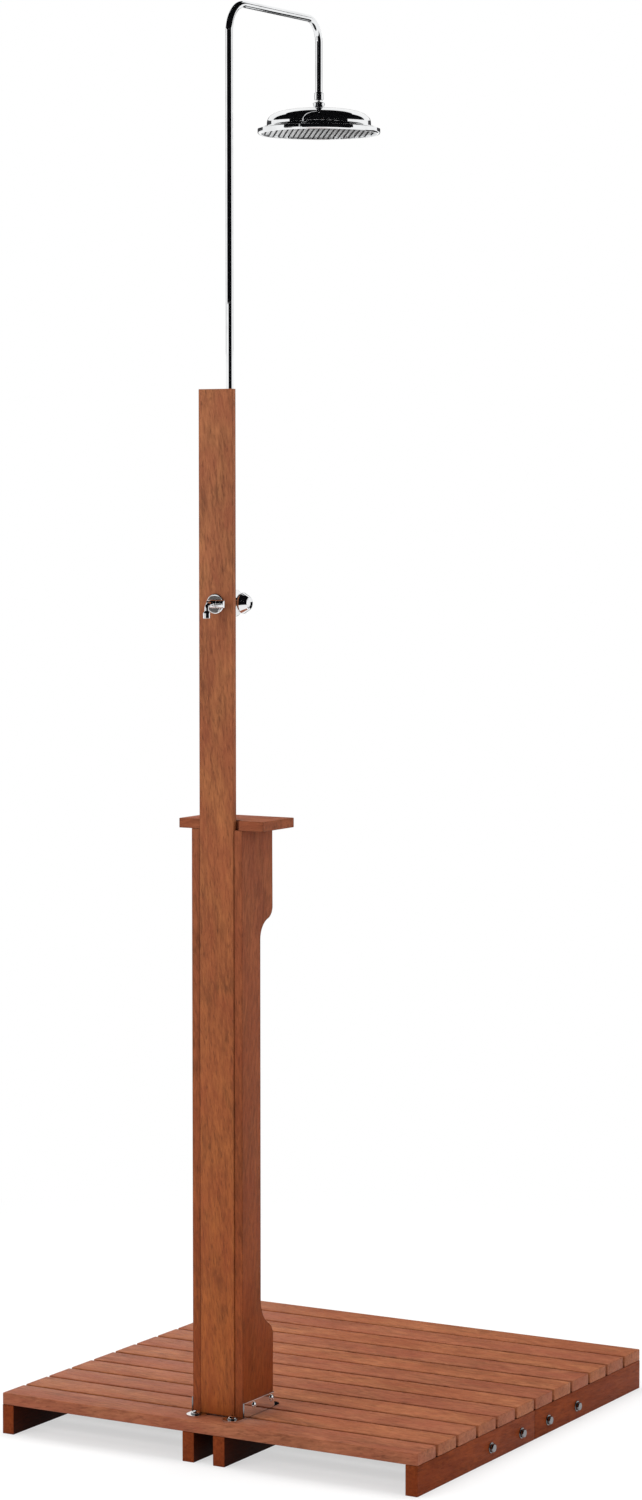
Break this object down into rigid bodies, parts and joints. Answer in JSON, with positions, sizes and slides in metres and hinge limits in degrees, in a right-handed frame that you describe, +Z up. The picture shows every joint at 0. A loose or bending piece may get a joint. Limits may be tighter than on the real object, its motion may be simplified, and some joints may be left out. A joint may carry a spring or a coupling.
{
  "type": "outdoor shower post",
  "caption": "Free-standing garden shower: slatted hardwood deck, slender wooden post with shaped side panels and shelf, chrome riser and arm, round overhead shower and small bib tap.",
  "frame": {"origin": "centre of the underside of the deck, at ground level", "axes": "+Z up; the post stands near the deck edge on the -Y side and the shower arm reaches towards +Y; +X is the side of the shower valve handle"},
  "size_m": [0.8136, 0.8276, 2.39],
  "materials": {
    "deck_wood_tan": "oiled, fine grain",
    "deck_wood_pink": "oiled, fine grain",
    "frame_wood": "oiled, edge grain",
    "board_wood": "oiled, straight grain",
    "panel_wood": "oiled, dark streaked grain",
    "shelf_wood": "oiled, fine grain",
    "dowel_wood": "plain",
    "chrome": "mirror bright",
    "polished_steel": "polished to a mirror",
    "fastener_steel": "satin",
    "inlet_brass": "bright plated brass",
    "spindle_brass": "turned",
    "bearing_plastic": "plain",
    "spray_plastic": "smooth, pale grey soft nozzles"
  },
  "bodies": {
    "stand": {"anchor_screws": "fastener_steel", "arm_collar": "chrome", "ball_stem": "chrome", "bracket_bolts": "fastener_steel", "bracket_left": "polished_steel", "bracket_nuts": "fastener_steel", "bracket_right": "polished_steel", "clip_screws": "fastener_steel", "deck_screws": "fastener_steel", "inlet_elbow": "inlet_brass", "joist_front_centre_left": "frame_wood", "joist_front_centre_right": "frame_wood", "joist_front_left": "frame_wood", "joist_front_right": "frame_wood", "joist_rear_centre_left": "frame_wood", "joist_rear_centre_right": "frame_wood", "joist_rear_left": "frame_wood", "joist_rear_right": "frame_wood", "lower_riser": "chrome", "pipe_clips": "chrome", "post_board": "board_wood", "rail_bottom": "frame_wood", "rail_dowels": "dowel_wood", "rail_screws": "fastener_steel", "rail_top": "frame_wood", "riser_arm": "chrome", "shelf": "shelf_wood", "side_panel_left": "panel_wood", "side_panel_right": "panel_wood", "slat_01": "deck_wood_tan", "slat_02": "deck_wood_pink", "slat_03": "deck_wood_tan", "slat_04": "deck_wood_pink", "slat_05": "deck_wood_tan", "slat_06": "deck_wood_pink", "slat_07": "deck_wood_tan", "slat_08": "deck_wood_pink", "slat_09": "deck_wood_tan", "slat_10": "deck_wood_pink", "slat_11": "deck_wood_tan", "slat_12": "deck_wood_pink", "splice_bolts": "fastener_steel", "splice_cleat_left": "frame_wood", "splice_cleat_right": "frame_wood", "splice_nuts": "fastener_steel", "tap_body": "chrome", "tap_escutcheon": "chrome", "union_nuts": "chrome", "valve_body": "chrome", "washers": "fastener_steel"},
    "shower_valve": {"shower_spindle": "spindle_brass", "shower_handle": "chrome"},
    "bib_tap": {"tap_spindle": "spindle_brass", "tap_handle": "chrome"},
    "seat": {"ball_seat": "bearing_plastic"},
    "slide": {"slide_ring": "bearing_plastic"},
    "shower_head": {"head_dome": "chrome", "rim_ring": "chrome", "spray_plate": "spray_plastic", "socket_nut": "chrome"}
  },
  "joints": [
    {"name": "shower_valve_turn", "type": "hinge", "parent": "stand", "child": "shower_valve", "pos_m": [0, -0.3248, 1.411], "axis": [1, 0, 0], "range_deg": [0, 90]},
    {"name": "bib_tap_turn", "type": "hinge", "parent": "stand", "child": "bib_tap", "pos_m": [0, -0.3808, 1.411], "axis": [1, 0, 0], "range_deg": [0, 90]},
    {"name": "head_tilt_forward", "type": "hinge", "parent": "stand", "child": "seat", "pos_m": [0, -0.0348, 2.243], "axis": [1, 0, 0], "range_deg": [-12, 12]},
    {"name": "head_tilt_sideways", "type": "hinge", "parent": "seat", "child": "slide", "pos_m": [0, -0.0348, 2.243], "axis": [0, 1, 0], "range_deg": [-12, 12]},
    {"name": "head_spin", "type": "hinge", "parent": "slide", "child": "shower_head", "pos_m": [0, -0.0348, 2.243], "axis": [0, 0, 1], "continuous": true}
  ]
}
